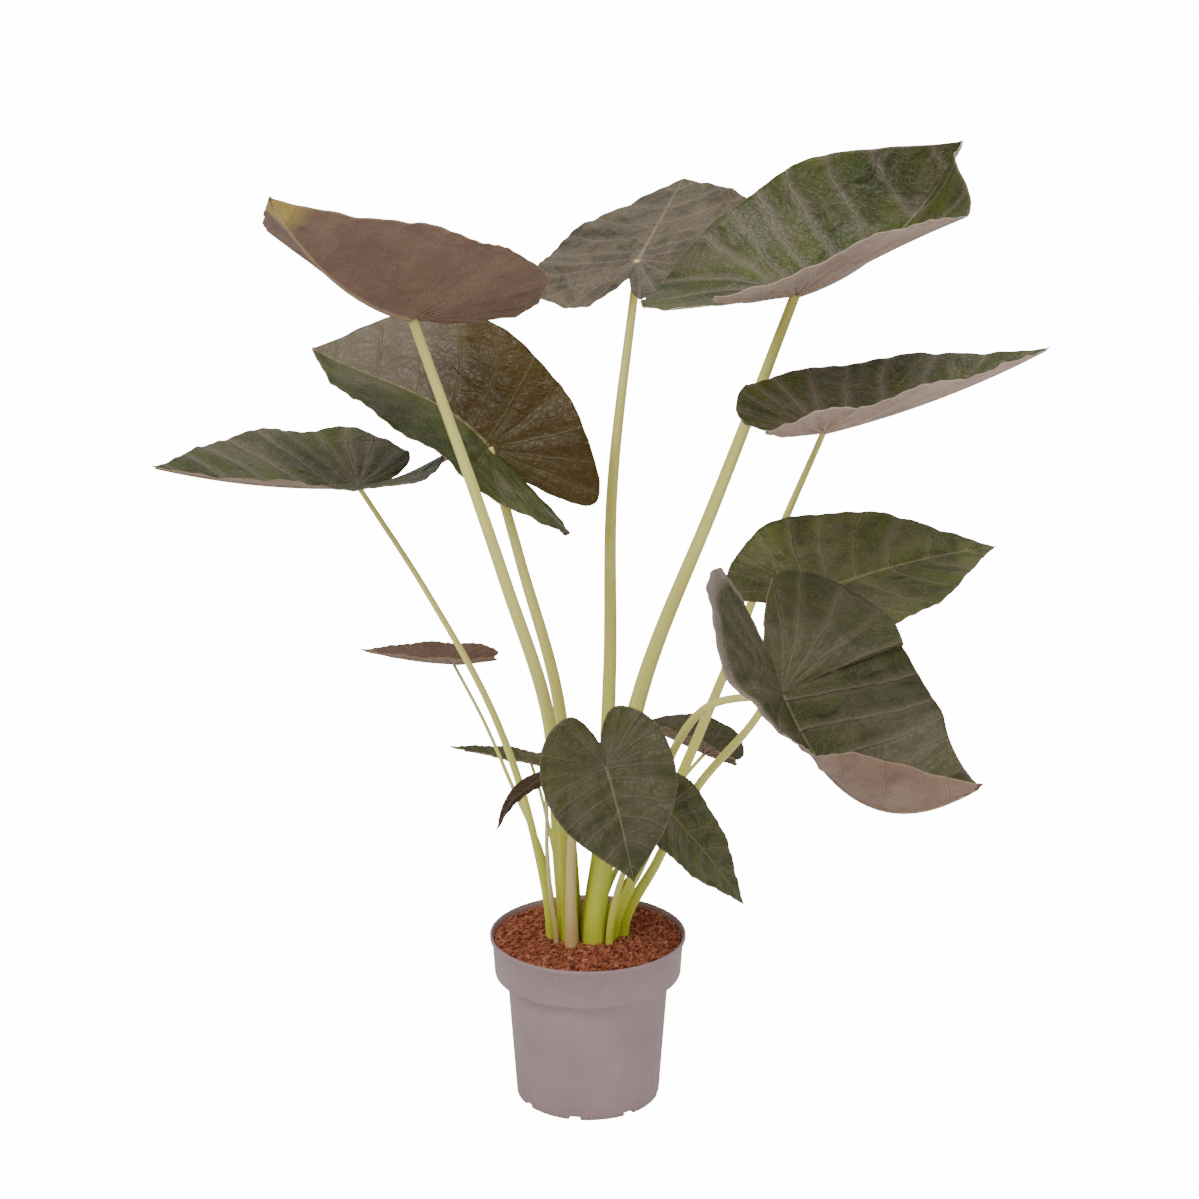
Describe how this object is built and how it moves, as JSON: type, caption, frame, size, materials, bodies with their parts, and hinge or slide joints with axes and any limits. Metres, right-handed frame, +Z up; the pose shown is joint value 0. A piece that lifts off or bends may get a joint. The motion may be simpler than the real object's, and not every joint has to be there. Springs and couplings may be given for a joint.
{
  "type": "potted giant taro",
  "caption": "Giant taro house plant with arrow-shaped, wavy-edged blades on long fleshy stalks, growing in coir in a round plastic nursery pot.",
  "frame": {"origin": "centre of the pot's flat bottom, on the surface that the pot stands on", "axes": "+Z up, from the pot's bottom to its rim and the leaves; -Y towards the viewer of the picture; +X to the viewer's right"},
  "size_m": [0.8042, 0.6645, 0.9052],
  "materials": {
    "leaf_green": "satin",
    "leaf_brown": "matte",
    "stalk_lime": "satin",
    "stalk_cream": "satin",
    "pot_plastic": "matte",
    "coir": "matte",
    "buried_stem": "matte"
  },
  "bodies": {
    "root": {"pot": "pot_plastic", "soil": "coir", "buried_stem": "buried_stem", "stalk_top_left": "stalk_lime", "stalk_top_centre": "stalk_lime", "stalk_top_right": "stalk_lime", "stalk_left_upper": "stalk_lime", "stalk_left_long": "stalk_lime", "stalk_right_long": "stalk_lime", "stalk_right_middle": "stalk_lime", "stalk_right_front": "stalk_lime", "stalk_front_small": "stalk_cream", "stalk_front_low": "stalk_lime", "stalk_left_small": "stalk_lime", "stalk_left_low": "stalk_lime", "stalk_curled": "stalk_cream", "stalk_right_back": "stalk_lime", "blade_top_left": "leaf_green", "blade_top_centre": "leaf_green", "blade_top_right": "leaf_green", "blade_left_upper": "leaf_green", "blade_left_long": "leaf_green", "blade_right_long": "leaf_green", "blade_right_middle": "leaf_green", "blade_right_front": "leaf_green", "blade_front_small": "leaf_green", "blade_front_low": "leaf_green", "blade_left_small": "leaf_green", "blade_left_low": "leaf_green", "blade_curled": "leaf_brown", "blade_right_back": "leaf_green"}
  },
  "joints": []
}
